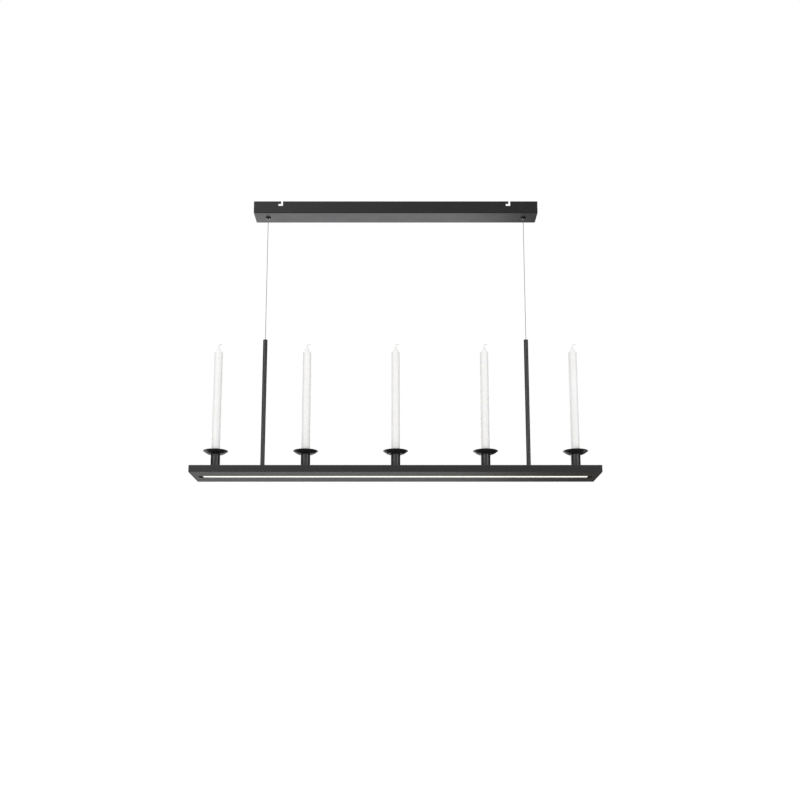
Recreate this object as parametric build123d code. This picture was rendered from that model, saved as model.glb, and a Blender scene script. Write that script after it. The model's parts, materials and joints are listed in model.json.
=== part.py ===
"""Linear island pendant: a slim ceiling canopy, two suspension wires, two rods, and a long flat beam.

The beam carries a light line in its underside and five holders with taper candles on its top.
Millimetres. The origin is the middle of the canopy's upper rim, where it meets the ceiling. +Z is up,
X runs along the beam and -Y is the front. Heights above the beam's top face are written as "above the beam".
"""

from build123d import *
import math
import os

# ---- Canopy --------------------------------------------------------------------------------------
canopy_length = 800.0
canopy_depth = 68.0
canopy_height = 35.0
canopy_sheet = 1.2
canopy_bend = 2.0  # outer radius of the folded edges
notch_inset = 79.5  # from each end of the canopy to the middle of a notch's entry
notch_entry = 5.2
notch_drop = 13.5
notch_foot_height = 6.0
notch_foot_reach = 7.5  # how far the foot runs past the entry, towards -X
notch_corner = 0.6

# ---- Suspension ----------------------------------------------------------------------------------
suspension_inset = 37.5  # from each end of the canopy to its wire, and so to the rod below
wire_diameter = 1.5
wire_play = 0.25  # round the wire in every hole that it passes
beam_drop = 785.0  # ceiling to the beam's underside

# ---- Cable gripper -------------------------------------------------------------------------------
gripper_thread = 10.0
gripper_flange = 15.0
gripper_flange_height = 3.0
gripper_height = 21.0  # threaded barrel, above the canopy's underside
gripper_chamfer = 0.8
gripper_nut_across = 13.0
gripper_nut_height = 4.5
nozzle_diameter = 5.0
nozzle_reach = 3.0  # below the barrel's flange
nozzle_lip = 0.8
collar_diameter = 6.8
collar_height = 1.0
ball_diameter = 2.0
ball_count = 3
ball_height = 7.0  # ball centres, above the canopy's underside
ball_play = 0.05
window_play = 0.1
cone_angle = 8.0
cone_above_balls = 1.5
collar_gap = 0.3
chamber_diameter = 8.0
gripper_cap_plug = 2.0
gripper_cap_plate = 1.0
spring_wire = 0.7
spring_coils = 5
thread_play = 0.05  # between a nut, plug or screw and what it is screwed to
hole_play = 0.1  # round a threaded barrel or screw in sheet metal
past = 1.0  # how far a cut runs past the face that it opens

# ---- Rods ----------------------------------------------------------------------------------------
rod_diameter = 12.0
rod_wall = 1.5
rod_length = 369.0  # from the beam's top face to the rod's top
spigot_diameter = 10.0
spigot_bore = 6.0
rod_nut_across = 14.0
rod_nut_height = 3.0
rod_nut_flange = 18.0
rod_nut_flange_height = 1.2
spigot_past_nut = 0.5
plug_head = 1.5
plug_length = 14.0
plug_chamfer = 0.4
stop_diameter = 4.4
stop_length = 6.0
stop_grip = 3.0  # how far the wire goes into its end stop
lead_diameter = 1.6

# ---- Beam ----------------------------------------------------------------------------------------
beam_length = 1100.0
beam_depth = 145.0
beam_height = 19.0
beam_sheet = 1.5
beam_bend = 2.0
plate_gap = 0.7  # between the bottom plate and the beam's walls
plate_flange = 5.0
clip_sheet = 0.5
clip_width = 12.0
clip_play = 0.05
clip_count = 4  # along each long side
clip_inset = 100.0  # from each end of the beam to the first clip
slot_play = 0.2
channel_width = 24.6
channel_wall = 1.2
channel_height = 9.5
channel_wing = 4.0
channel_end_cap = 12.0
channel_play = 0.1
diffuser_inset = 28.0  # from each end of the beam to the end of the light line
diffuser_thickness = 1.5
diffuser_recess = 0.8
ledge_reach = 1.1
ledge_thickness = 0.8
diffuser_leg = 1.0
diffuser_leg_height = 2.0
led_board_width = 12.0
led_board_thickness = 0.8
led_board_end_gap = 4.0
led_chip = 3.0
led_chip_thickness = 0.8
led_pitch = 25.0

# ---- Candle holders ------------------------------------------------------------------------------
holder_inset = 59.0  # from each end of the beam to the first holder
holder_count = 5
socket_diameter = 26.0
socket_height = 48.0
socket_wall = 0.95
socket_floor = 22.0  # where the candle stands, above the beam
socket_edge = 0.3
bead_reach = 1.2
bead_height = 1.6
pan_diameter = 68.0
pan_bottom = 43.6  # underside of the pan at the socket, above the beam
pan_rise = 9.7  # from that underside to the rim's top
pan_sheet = 1.2
pan_flat_diameter = 36.0
pan_collar_height = 3.0
pan_rim_bead = 1.6
pan_play = 0.05
pan_belly = 1.2  # the bowl's deepest curve lies this far outside the middle of its slope
pan_belly_rise = 0.3  # share of the rim's height there
holder_screw = 4.0
holder_screw_depth = 10.0
holder_screw_end_gap = 2.0
holder_screw_head = 7.0
holder_screw_head_height = 2.5

# ---- Candles -------------------------------------------------------------------------------------
candle_base_diameter = 23.6
candle_top_diameter = 22.4
candle_shoulder = 332.5  # above the beam
candle_cone = 16.2
candle_cone_start = 14.0  # diameter where the shoulder's rounding ends
candle_cone_end = 4.4
candle_shoulder_round = 3.4
wick_diameter = 2.0
wick_play = 0.02
wick_straight = 2.5  # above the cone's top, before the wick bends
wick_arc = 12.3  # length of its bent tip
wick_lean = 135.0  # degrees that the wick's tip has turned over

# ---- Fittings inside the canopy ------------------------------------------------------------------
driver_x = -110.0
driver_length = 170.0
driver_width = 40.0
driver_height = 22.0
driver_wall = 1.5
driver_corner = 3.0
driver_groove = 0.8  # depth and half width of each groove along its top
driver_groove_count = 7
driver_groove_pitch = 4.4
boss_diameter = 6.0
boss_height = 13.0  # screw bosses of the end caps, above the driver's base
cap_thickness = 3.0
cap_play = 0.1
ear_length = 10.0
ear_width = 12.0
ear_thickness = 2.5
board_thickness = 1.6
board_height = 5.0  # above the driver's base
standoff_diameter = 6.0
standoff_height = 4.0
standoff_floor = 0.5
transformer_length = 32.0
transformer_width = 18.0
transformer_height = 11.0
core_length = 20.0
core_width = 21.0
core_height = 8.0
capacitor_x = -43.0  # middle of the pair on the board, from the board's middle
capacitor_pitch = 14.0
capacitor_diameter = 10.0
filter_x = 49.0
filter_pitch = 18.0
filter_length = 12.0
filter_width = 16.0
filter_height = 9.0
screw_diameter = 3.0
screw_length = 6.0
screw_head = 5.5
screw_head_height = 2.0
screw_drive = 2.0  # across the socket in a screw's head
terminal_x = 60.0
terminal_pitch = 12.0
terminal_poles = 3
terminal_depth = 22.0
terminal_height = 15.0
terminal_edge = 1.0
terminal_groove = 1.4
terminal_groove_depth = 3.0
clamp_diameter = 6.0
clamp_bore = 3.4
clamp_length = 17.0
clamp_height = 6.0
terminal_screw_spread = 10.0
terminal_screw_diameter = 2.6
terminal_screw_head = 4.0
terminal_screw_length = 5.0
terminal_screw_seat = 1.5  # the underside of its head, above the clamp
terminal_well = 4.4
earth_x = 105.0
earth_diameter = 4.0
earth_length = 12.0
earth_head_diameter = 8.0
earth_head_height = 0.8
earth_nut_gap = 1.0
earth_nut_across = 7.0
earth_nut_height = 3.2
lane = 19.0  # side step of each fold of spare wire
fold_near = 235.0  # |x| where the folds of spare wire turn back, towards the middle
fold_inset = 48.5  # from the wire's place in the canopy to where the folds turn back at the outer end
wire_arch = 15.4  # how far the wire goes sideways as it comes over the gripper
wire_drop = 14.0  # and from there as it comes down to the tray's floor
wire_rise = 7.5  # from the gripper's cap to the top of that arch
wire_bend = 4.2  # centreline radius of its bends
wire_over_floor = 2.4
driver_side_gap = 4.0  # between the driver and the wire that passes behind it
gland_step_left = 10.0  # wire between its last bends, at the driver's left end
gland_step_right = 26.0
clip_block = 7.0
clip_block_height = 5.0
clip_edge = 1.5

# ---- Worked out from the sizes above -------------------------------------------------------------
tray_floor = canopy_sheet - canopy_height
wire_x = canopy_length / 2 - suspension_inset
notch_x = canopy_length / 2 - notch_inset
wire_radius = wire_diameter / 2
wire_hole = wire_radius + wire_play
canopy_under = -canopy_height
nozzle_mouth = canopy_under - gripper_flange_height - nozzle_reach
barrel_top = canopy_under + gripper_height
balls_z = canopy_under + ball_height
ball_radius = ball_diameter / 2
ball_circle = wire_radius + ball_radius + ball_play
guide_radius = nozzle_diameter / 2 + thread_play
cone_slope = math.tan(math.radians(cone_angle))
cone_at_balls = ball_circle + (ball_radius + ball_play) / math.cos(math.radians(cone_angle))
cone_start = balls_z - (cone_at_balls - guide_radius) / cone_slope
cone_end = balls_z + cone_above_balls
collar_bottom = cone_end + collar_gap
collar_top = collar_bottom + collar_height
spring_top = barrel_top - gripper_cap_plug
beam_top = beam_height - beam_drop
beam_under = -beam_drop
beam_ceiling = beam_top - beam_sheet  # underside of the beam's top sheet
rod_top = beam_top + rod_length
tube_top = rod_top - plug_head
plug_bottom = tube_top - plug_length
plate_top = beam_under + beam_sheet
channel_top = beam_under + channel_height
board_top = channel_top - channel_wall
diffuser_length = beam_length - 2 * diffuser_inset
clip_spacing = (beam_length - 2 * clip_inset) / (clip_count - 1)
holder_pitch = (beam_length - 2 * holder_inset) / (holder_count - 1)
holder_places = [(i - (holder_count - 1) / 2) * holder_pitch for i in range(holder_count)]
sides = {"left": -1, "right": 1}


# ---- Ways of making a shape ----------------------------------------------------------------------
def turned(*outline):
    """A solid turned about Z, from (radius, height) points."""
    return revolve(Plane.XZ * make_face(Polyline(*outline, close=True)), Axis.Z)


def rod_piece(radius, low, high):
    """A round bar about Z between two heights."""
    return Pos(0, 0, low) * Cylinder(radius, high - low, align=(Align.CENTER, Align.CENTER, Align.MIN))


def block(x_low, x_high, y_low, y_high, z_low, z_high):
    """A box between two corners."""
    size = (x_high - x_low, y_high - y_low, z_high - z_low)
    return Pos((x_low + x_high) / 2, (y_low + y_high) / 2, (z_low + z_high) / 2) * Box(*size)


def folded_tray(length, depth, height, sheet, bend):
    """A tray of folded sheet, open at the top, with its rim at z = 0."""
    body = Box(length, depth, height, align=(Align.CENTER, Align.CENTER, Align.MAX))
    rim = body.faces().sort_by(Axis.Z)[-1]
    body = fillet(body.edges() - rim.edges(), bend)
    return offset(body, amount=-sheet, openings=body.faces().sort_by(Axis.Z)[-1])


def hexagon(across, height):
    """A six-sided block that stands on z = 0."""
    return extrude(RegularPolygon(across / 2, 6, major_radius=False), height)


def screw(thread, length, head, head_height):
    """A screw that points down, with its head standing on z = 0 and a hexagon socket in the head."""
    body = rod_piece(head / 2, 0, head_height) + rod_piece(thread / 2, -length, 0)
    return body - Pos(0, 0, head_height / 2) * hexagon(screw_drive, head_height)


def at_wires(shape):
    """The same piece at each of the two wires."""
    return Compound(children=[Pos(side * wire_x, 0, 0) * shape for side in sides.values()])


def tube_along(path, radius):
    """A round wire along a path."""
    return sweep(Plane(path @ 0, z_dir=path % 0) * Circle(radius), path=path)


parts = {}

# ---- Canopy tray ---------------------------------------------------------------------------------
def notch():
    """The L-shaped hanging slot through both long walls: an entry from the rim, and a foot towards -X."""
    half = notch_entry / 2
    outline = Polyline(
        (-half, past),
        (-half, notch_foot_height - notch_drop),
        (-half - notch_foot_reach, notch_foot_height - notch_drop),
        (-half - notch_foot_reach, -notch_drop),
        (half, -notch_drop),
        (half, past),
        close=True,
    )
    cutter = extrude(Plane.XZ * make_face(outline), canopy_depth, both=True)
    return fillet(cutter.edges().filter_by(Axis.Y), notch_corner)


def standoff(x, y):
    """A blind threaded post on the tray's floor."""
    post = rod_piece(standoff_diameter / 2, tray_floor, tray_floor + standoff_height)
    return Pos(x, y, 0) * (post - rod_piece(screw_diameter / 2 + thread_play, tray_floor + standoff_floor, 0))


driver_end = driver_length / 2 + cap_thickness
standoff_places = [
    (driver_x - driver_end - ear_length / 2, 0),
    (driver_x + driver_end + ear_length / 2, 0),
]
tray = folded_tray(canopy_length, canopy_depth, canopy_height, canopy_sheet, canopy_bend)
for side in sides.values():
    tray -= Pos(side * notch_x, 0, 0) * notch()
    tray -= Pos(side * wire_x, 0, 0) * rod_piece(gripper_thread / 2 + hole_play, canopy_under - past, 0)
for place in standoff_places:
    tray += standoff(*place)
parts["canopy_tray"] = tray

# ---- Driver: the power supply, a ribbed tube with two end caps -----------------------------------
ledge = board_height - board_thickness / 2
inside_width = driver_width - 2 * driver_wall
inside_height = driver_height - 2 * driver_wall
profile = RectangleRounded(driver_width, driver_height, driver_corner)
profile -= RectangleRounded(inside_width, inside_height, driver_corner - driver_wall)
for i in range(driver_groove_count):
    groove_y = (i - (driver_groove_count - 1) / 2) * driver_groove_pitch
    profile -= Pos(groove_y, driver_height / 2) * Rectangle(driver_groove * 2, driver_groove * 2)
for side in sides.values():
    boss_in = side * (inside_width / 2 - boss_diameter / 2 + driver_wall / 2)
    boss = Pos(boss_in, boss_height - driver_height / 2)
    profile += boss * (Circle(boss_diameter / 2) - Circle(screw_diameter / 2 + thread_play))
    shelf_step = (board_thickness + driver_wall) / 2 + cap_play
    for shelf_z in (board_height - shelf_step, board_height + shelf_step):
        shelf = Rectangle(driver_wall * 1.2, driver_wall)
        profile += Pos(side * (inside_width - driver_wall) / 2, shelf_z - driver_height / 2) * shelf
case = extrude(Plane.YZ * profile, driver_length / 2, both=True)
parts["driver_case"] = Pos(driver_x, 0, tray_floor + driver_height / 2) * case

boss_y = driver_width / 2 - driver_wall / 2 - boss_diameter / 2


def driver_cap(side):
    """One end cap, with a fixing ear that stands on a standoff. The left cap passes the output wires."""
    outline = RectangleRounded(driver_width, driver_height, driver_corner)
    plate = extrude(Plane.YZ * outline, cap_thickness)
    plate = Pos(0, 0, tray_floor + driver_height / 2) * plate
    ear = block(0, cap_thickness + ear_length, -ear_width / 2, ear_width / 2, 0, ear_thickness)
    ear = fillet(ear.edges().filter_by(Axis.Z).sort_by(Axis.X)[-2:], ear_width / 4)
    ear = Pos(0, 0, tray_floor + standoff_height) * ear
    ear_hole = rod_piece(screw_diameter / 2 + hole_play, tray_floor, 0)
    ear -= Pos(cap_thickness + ear_length / 2, 0, 0) * ear_hole
    cap = plate + ear
    for y in (-boss_y, boss_y):
        hole = Cylinder(screw_diameter / 2 + hole_play, 4 * cap_thickness, rotation=(0, 90, 0))
        cap -= Pos(0, y, tray_floor + boss_height) * hole
        if side < 0:
            wire_gland = Cylinder(wire_hole, 4 * cap_thickness, rotation=(0, 90, 0))
            cap -= Pos(0, y / 2, tray_floor + boss_height) * wire_gland
    if side < 0:
        cap = mirror(cap, Plane.YZ)
    return Pos(driver_x + side * driver_length / 2, 0, 0) * cap


parts["driver_end_caps"] = Compound(children=[driver_cap(side) for side in sides.values()])

board_width = driver_width - 2 * driver_wall - 2 * cap_play
board_length = driver_length - 2 * cap_play
standing = (Align.CENTER, Align.CENTER, Align.MIN)
on_board = Pos(0, 0, board_thickness)
board = Box(board_length, board_width, board_thickness, align=standing)
board += on_board * Box(transformer_length, transformer_width, transformer_height, align=standing)
board += on_board * Box(core_length, core_width, core_height, align=standing)
for half_step in (-0.5, 0.5):
    capacitor = Cylinder(capacitor_diameter / 2, transformer_height, align=standing)
    board += on_board * Pos(capacitor_x + half_step * capacitor_pitch, 0, 0) * capacitor
    filter_coil = Box(filter_length, filter_width, filter_height, align=standing)
    board += on_board * Pos(filter_x + half_step * filter_pitch, 0, 0) * filter_coil
parts["driver_board"] = Pos(driver_x, 0, tray_floor + ledge) * board

# ---- Terminal block ------------------------------------------------------------------------------
terminal_length = terminal_pitch * (terminal_poles + 1)  # three poles, and the fixing hole beside them
pole_places = [(i - terminal_poles / 2) * terminal_pitch for i in range(terminal_poles)]
fixing_x = terminal_poles / 2 * terminal_pitch
half_depth = terminal_depth / 2
body = block(-terminal_length / 2, terminal_length / 2, -half_depth, half_depth, 0, terminal_height)
body = fillet(body.edges().filter_by(Axis.X), terminal_edge)
for x in pole_places:
    entry = Cylinder(clamp_diameter / 2 + thread_play, terminal_depth + 2 * past, rotation=(90, 0, 0))
    body -= Pos(x, 0, clamp_height) * entry
    for y in (-terminal_screw_spread / 2, terminal_screw_spread / 2):
        body -= Pos(x, y, 0) * rod_piece(terminal_well / 2, clamp_height, terminal_height + past)
for i in range(terminal_poles - 1):
    groove_x = (pole_places[i] + pole_places[i + 1]) / 2
    groove_box = Box(terminal_groove, terminal_depth + 2 * past, 2 * terminal_groove_depth)
    body -= Pos(groove_x, 0, terminal_height) * groove_box
foot_hole = rod_piece(standoff_diameter / 2 + hole_play, -past, standoff_height)
foot_hole += rod_piece(screw_diameter / 2 + hole_play, 0, terminal_height + past)
foot_hole += rod_piece(screw_head / 2 + hole_play, standoff_height + ear_thickness, terminal_height + past)
body -= Pos(fixing_x, 0, 0) * foot_hole
parts["terminal_block"] = Pos(terminal_x, 0, tray_floor) * body
parts["canopy_tray"] += standoff(terminal_x + fixing_x, 0)

clamp = Cylinder(clamp_diameter / 2, clamp_length, rotation=(90, 0, 0))
clamp -= Cylinder(clamp_bore / 2, clamp_length + 2 * past, rotation=(90, 0, 0))
for y in (-terminal_screw_spread / 2, terminal_screw_spread / 2):
    clamp -= Pos(0, y, 0) * rod_piece(terminal_screw_diameter / 2 + thread_play, 0, clamp_diameter)
pole_spots = [(terminal_x + x, 0, tray_floor + clamp_height) for x in pole_places]
parts["terminal_clamps"] = Compound(children=[Pos(*spot) * clamp for spot in pole_spots])
seat = clamp_diameter / 2 + terminal_screw_seat
small_screw = screw(
    terminal_screw_diameter, terminal_screw_length, terminal_screw_head, screw_head_height
)
parts["terminal_screws"] = Compound(
    children=[
        Pos(x, y, z + seat) * small_screw
        for x, _, z in pole_spots
        for y in (-terminal_screw_spread / 2, terminal_screw_spread / 2)
    ]
)

# ---- Screws that hold the fittings, all of one size ----------------------------------------------
one_screw = screw(screw_diameter, screw_length, screw_head, screw_head_height)
floor_places = standoff_places + [(terminal_x + fixing_x, 0)]
screws = [Pos(x, y, tray_floor + standoff_height + ear_thickness) * one_screw for x, y in floor_places]
for side in sides.values():
    for y in (-boss_y, boss_y):
        spot = Pos(driver_x + side * driver_end, y, tray_floor + boss_height)
        screws.append(spot * Rot(0, side * 90, 0) * one_screw)
parts["fitting_screws"] = Compound(children=screws)

# ---- Earth stud ----------------------------------------------------------------------------------
stud = rod_piece(earth_diameter / 2, 0, earth_length)
stud += rod_piece(earth_head_diameter / 2, 0, earth_head_height)
parts["earth_stud"] = Pos(earth_x, 0, tray_floor) * stud
earth_nut = hexagon(earth_nut_across, earth_nut_height)
earth_nut -= rod_piece(earth_diameter / 2 + thread_play, -past, earth_nut_height + past)
first_nut = tray_floor + earth_nut_gap
nut_heights = (first_nut, first_nut + earth_nut_height + earth_nut_gap)
parts["earth_nuts"] = Compound(children=[Pos(earth_x, 0, z) * earth_nut for z in nut_heights])

# ---- Cable grippers ------------------------------------------------------------------------------
flange_radius = gripper_flange / 2
flange_bottom = canopy_under - gripper_flange_height
barrel = turned(
    (guide_radius, flange_bottom),
    (flange_radius - gripper_chamfer, flange_bottom),
    (flange_radius, flange_bottom + gripper_chamfer),
    (flange_radius, canopy_under),
    (gripper_thread / 2, canopy_under),
    (gripper_thread / 2, barrel_top),
    (chamber_diameter / 2, barrel_top),
    (chamber_diameter / 2, cone_end),
    (cone_at_balls + cone_above_balls * cone_slope, cone_end),
    (guide_radius, cone_start),
)
gripper_nut = hexagon(gripper_nut_across, gripper_nut_height)
gripper_nut -= rod_piece(gripper_thread / 2 + thread_play, -past, gripper_nut_height + past)
parts["gripper_nuts"] = at_wires(Pos(0, 0, tray_floor) * gripper_nut)
cap_radius = chamber_diameter / 2 - thread_play
gripper_cap = turned(
    (wire_hole, spring_top),
    (cap_radius, spring_top),
    (cap_radius, barrel_top),
    (gripper_thread / 2, barrel_top),
    (gripper_thread / 2, barrel_top + gripper_cap_plate),
    (wire_hole, barrel_top + gripper_cap_plate),
)
parts["gripper_caps"] = at_wires(gripper_cap)

nozzle_radius = nozzle_diameter / 2
nozzle = turned(
    (wire_hole + nozzle_lip / 2, nozzle_mouth),
    (nozzle_radius - nozzle_lip, nozzle_mouth),
    (nozzle_radius, nozzle_mouth + nozzle_lip),
    (nozzle_radius, collar_bottom),
    (collar_diameter / 2, collar_bottom),
    (collar_diameter / 2, collar_top),
    (wire_hole, collar_top),
    (wire_hole, nozzle_mouth + nozzle_lip),
)
ball_ring = []
for i in range(ball_count):
    turn = Rot(0, 0, i * 360 / ball_count)
    window = Cylinder(ball_radius + window_play, 2 * nozzle_radius, rotation=(0, 90, 0))
    nozzle -= turn * (Pos(nozzle_radius, 0, balls_z) * window)
    ball_ring.append(turn * (Pos(ball_circle, 0, balls_z) * Sphere(ball_radius)))

spring_room = spring_top - collar_top - spring_wire
spring_radius = collar_diameter / 2 - spring_wire / 2
coil = Helix(pitch=spring_room / spring_coils, height=spring_room, radius=spring_radius)
spring = Pos(0, 0, collar_top + spring_wire / 2) * sweep(
    Plane(coil @ 0, z_dir=coil % 0) * Circle(spring_wire / 2 - thread_play), path=coil, is_frenet=True
)

for name, side in sides.items():
    here = Pos(side * wire_x, 0, 0)
    parts[f"gripper_barrel_{name}"] = here * barrel
    parts[f"release_nozzle_{name}"] = here * nozzle
    parts[f"gripper_balls_{name}"] = Compound(children=[here * ball for ball in ball_ring])
    parts[f"gripper_spring_{name}"] = here * spring

# ---- Wires ---------------------------------------------------------------------------------------
# Below each nozzle's mouth the wire hangs from a round end, about which it swings. Above it the same wire
# goes through the gripper, lies in folds on the canopy's floor as spare length, and ends in the driver.
wire_bottom = plug_bottom - stop_grip
hanging_wire = rod_piece(wire_radius, wire_bottom, nozzle_mouth)
hanging_wire += Pos(0, 0, nozzle_mouth) * Sphere(wire_radius)
wire_turn_z = barrel_top + gripper_cap_plate + wire_rise
lane_z = tray_floor + wire_over_floor
gland_z = tray_floor + boss_height
gland_x = driver_x - driver_end + cap_thickness
past_driver = driver_width / 2 + wire_radius + driver_side_gap
inner_start = nozzle_mouth + wire_radius + ball_play


def spare_wire(side):
    """The route of one wire inside the canopy, from the gripper to the driver's left end."""
    start = [(side * wire_x, 0, inner_start), (side * wire_x, 0, wire_turn_z)]
    down = side * (wire_x - wire_arch)
    far, near = side * (wire_x - fold_inset), side * fold_near
    if side < 0:
        lanes = [-lane, 0, lane]
        end = [
            (near, lanes[2], lane_z),
            (near + gland_step_left, boss_y / 2, gland_z),
            (gland_x, boss_y / 2, gland_z),
        ]
    else:
        lanes = [-lane, 0, past_driver]
        turn_x = gland_x - gland_step_right
        end = [
            (turn_x, lanes[2], lane_z),
            (turn_x, -boss_y / 2, gland_z),
            (gland_x, -boss_y / 2, gland_z),
        ]
    folds = [
        (down, lanes[0] / 2, wire_turn_z),
        (down - side * wire_drop, lanes[0], lane_z),
        (near, lanes[0], lane_z),
        (near, lanes[1], lane_z),
        (far, lanes[1], lane_z),
        (far, lanes[2], lane_z),
    ]
    return start + folds + end


for name, side in sides.items():
    points = spare_wire(side)
    route = FilletPolyline(*points, radius=wire_bend)
    parts[f"output_wire_{name}"] = tube_along(route, wire_radius)
    parts[f"wire_{name}"] = Pos(side * wire_x, 0, 0) * hanging_wire

clip_hole = Cylinder(wire_radius + thread_play, 2 * clip_block, rotation=(0, 90, 0))
saddle = block(-clip_block / 2, clip_block / 2, -clip_block / 2, clip_block / 2, 0, clip_block_height)
saddle = fillet(saddle.edges().filter_by(Axis.X).sort_by(Axis.Z)[-2:], clip_edge)
saddle -= Pos(0, 0, wire_over_floor) * clip_hole
clip_x = (fold_near + wire_x - fold_inset) / 2
clip_spots = [(side * clip_x, y) for side in sides.values() for y in (-lane, 0)]
clip_spots += [(-clip_x, lane), (clip_x, past_driver), (driver_x, past_driver)]
parts["wire_clips"] = Compound(children=[Pos(x, y, tray_floor) * saddle for x, y in clip_spots])

# ---- Rods ----------------------------------------------------------------------------------------
rod_radius = rod_diameter / 2
tube_bore = rod_radius - rod_wall
nut_bottom = beam_ceiling - rod_nut_flange_height - rod_nut_height
spigot_bottom = nut_bottom - spigot_past_nut
rod = turned(
    (spigot_bore / 2, spigot_bottom),
    (spigot_diameter / 2, spigot_bottom),
    (spigot_diameter / 2, beam_top),
    (rod_radius, beam_top),
    (rod_radius, tube_top),
    (tube_bore, tube_top),
    (tube_bore, beam_top + 2 * rod_wall),
    (spigot_bore / 2, beam_top + 2 * rod_wall),
)
for name, side in sides.items():
    parts[f"rod_{name}"] = Pos(side * wire_x, 0, 0) * rod
plug = turned(
    (wire_hole, plug_bottom),
    (tube_bore - thread_play, plug_bottom),
    (tube_bore - thread_play, tube_top),
    (rod_radius, tube_top),
    (rod_radius, rod_top - plug_chamfer),
    (rod_radius - plug_chamfer, rod_top),
    (wire_hole, rod_top),
)
parts["rod_plugs"] = at_wires(plug)
stop_radius = stop_diameter / 2
grip_radius = wire_radius + thread_play
stop = turned(
    (0, plug_bottom - stop_length),
    (stop_radius - plug_chamfer, plug_bottom - stop_length),
    (stop_radius, plug_bottom - stop_length + plug_chamfer),
    (stop_radius, plug_bottom),
    (grip_radius, plug_bottom),
    (grip_radius, wire_bottom - thread_play),
    (0, wire_bottom - thread_play),
)
parts["wire_end_stops"] = at_wires(stop)
rod_nut = hexagon(rod_nut_across, rod_nut_height)
rod_nut += rod_piece(rod_nut_flange / 2, rod_nut_height, rod_nut_height + rod_nut_flange_height)
rod_nut -= rod_piece(spigot_diameter / 2 + thread_play, -past, rod_nut_height + rod_nut_flange_height + past)
parts["rod_nuts"] = at_wires(Pos(0, 0, nut_bottom) * rod_nut)
lead = rod_piece(lead_diameter / 2, board_top, plug_bottom - stop_length)
parts["beam_leads"] = at_wires(lead)

# ---- Beam ----------------------------------------------------------------------------------------
shell = mirror(folded_tray(beam_length, beam_depth, beam_height, beam_sheet, beam_bend), Plane.XY)
shell = Pos(0, 0, beam_under) * shell
for side in sides.values():
    shell -= Pos(side * wire_x, 0, 0) * rod_piece(spigot_diameter / 2 + hole_play, beam_under, 0)
for x in holder_places:
    shell -= Pos(x, 0, 0) * rod_piece(holder_screw / 2 + hole_play, beam_under, 0)
parts["beam_shell"] = shell

plate_half_length = beam_length / 2 - beam_sheet - plate_gap
plate_half_depth = beam_depth / 2 - beam_sheet - plate_gap
slot_half = channel_width / 2 + slot_play
slot_end = diffuser_length / 2 + channel_end_cap + slot_play
plate = Pos(0, 0, beam_under) * Box(2 * plate_half_length, 2 * plate_half_depth, beam_sheet, align=standing)
for side in sides.values():
    flange_y = sorted((side * plate_half_depth, side * (plate_half_depth - beam_sheet)))
    plate += block(-plate_half_length, plate_half_length, *flange_y, plate_top, plate_top + plate_flange)
plate -= block(-slot_end, slot_end, -slot_half, slot_half, beam_under - past, plate_top + past)
parts["beam_bottom_plate"] = plate

inner_leg = plate_half_depth - beam_sheet - clip_play
outer_leg = plate_half_depth + clip_play
bridge = plate_top + plate_flange + clip_play
clip_profile = Polyline(
    (inner_leg, plate_top + clip_play),
    (inner_leg, bridge),
    (outer_leg, bridge),
    (outer_leg, plate_top + clip_play),
    (outer_leg + clip_sheet, plate_top + clip_play),
    (outer_leg + clip_sheet, bridge + clip_sheet),
    (inner_leg - clip_sheet, bridge + clip_sheet),
    (inner_leg - clip_sheet, plate_top + clip_play),
    close=True,
)
cover_clip = extrude(Plane.YZ * make_face(clip_profile), clip_width / 2, both=True)
clips = []
for i in range(clip_count):
    clip_place = Pos((i - (clip_count - 1) / 2) * clip_spacing, 0, 0)
    clips += [clip_place * cover_clip, clip_place * mirror(cover_clip, Plane.XZ)]
parts["cover_clips"] = Compound(children=clips)

# ---- Light line ----------------------------------------------------------------------------------
channel_outside = channel_width / 2
channel_inside = channel_outside - channel_wall
diffuser_top = beam_under + diffuser_recess + diffuser_thickness
ledge_low = diffuser_top + channel_play
ledge_high = ledge_low + ledge_thickness
channel_outline = Polyline(
    (channel_outside, beam_under),
    (channel_outside, plate_top),
    (channel_outside + channel_wing, plate_top),
    (channel_outside + channel_wing, plate_top + channel_wall),
    (channel_outside, plate_top + channel_wall),
    (channel_outside, channel_top),
    (-channel_outside, channel_top),
    (-channel_outside, plate_top + channel_wall),
    (-channel_outside - channel_wing, plate_top + channel_wall),
    (-channel_outside - channel_wing, plate_top),
    (-channel_outside, plate_top),
    (-channel_outside, beam_under),
    (-channel_inside, beam_under),
    (-channel_inside, ledge_low),
    (ledge_reach - channel_inside, ledge_low),
    (ledge_reach - channel_inside, ledge_high),
    (-channel_inside, ledge_high),
    (-channel_inside, board_top),
    (channel_inside, board_top),
    (channel_inside, ledge_high),
    (channel_inside - ledge_reach, ledge_high),
    (channel_inside - ledge_reach, ledge_low),
    (channel_inside, ledge_low),
    (channel_inside, beam_under),
    close=True,
)
channel = extrude(Plane.YZ * make_face(channel_outline), diffuser_length / 2, both=True)
lead_hole = rod_piece(lead_diameter / 2 + wire_play, board_top - past, channel_top + past)
for side in sides.values():
    channel -= Pos(side * wire_x, 0, 0) * lead_hole
parts["led_channel"] = channel

end_cap = block(0, channel_end_cap, -channel_outside, channel_outside, beam_under, channel_top)
wing_half = channel_outside + channel_wing
end_cap += block(0, channel_end_cap, -wing_half, wing_half, plate_top, plate_top + channel_wall)
end_cap = Pos(diffuser_length / 2, 0, 0) * end_cap
parts["channel_end_caps"] = Compound(children=[end_cap, mirror(end_cap, Plane.YZ)])

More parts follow.
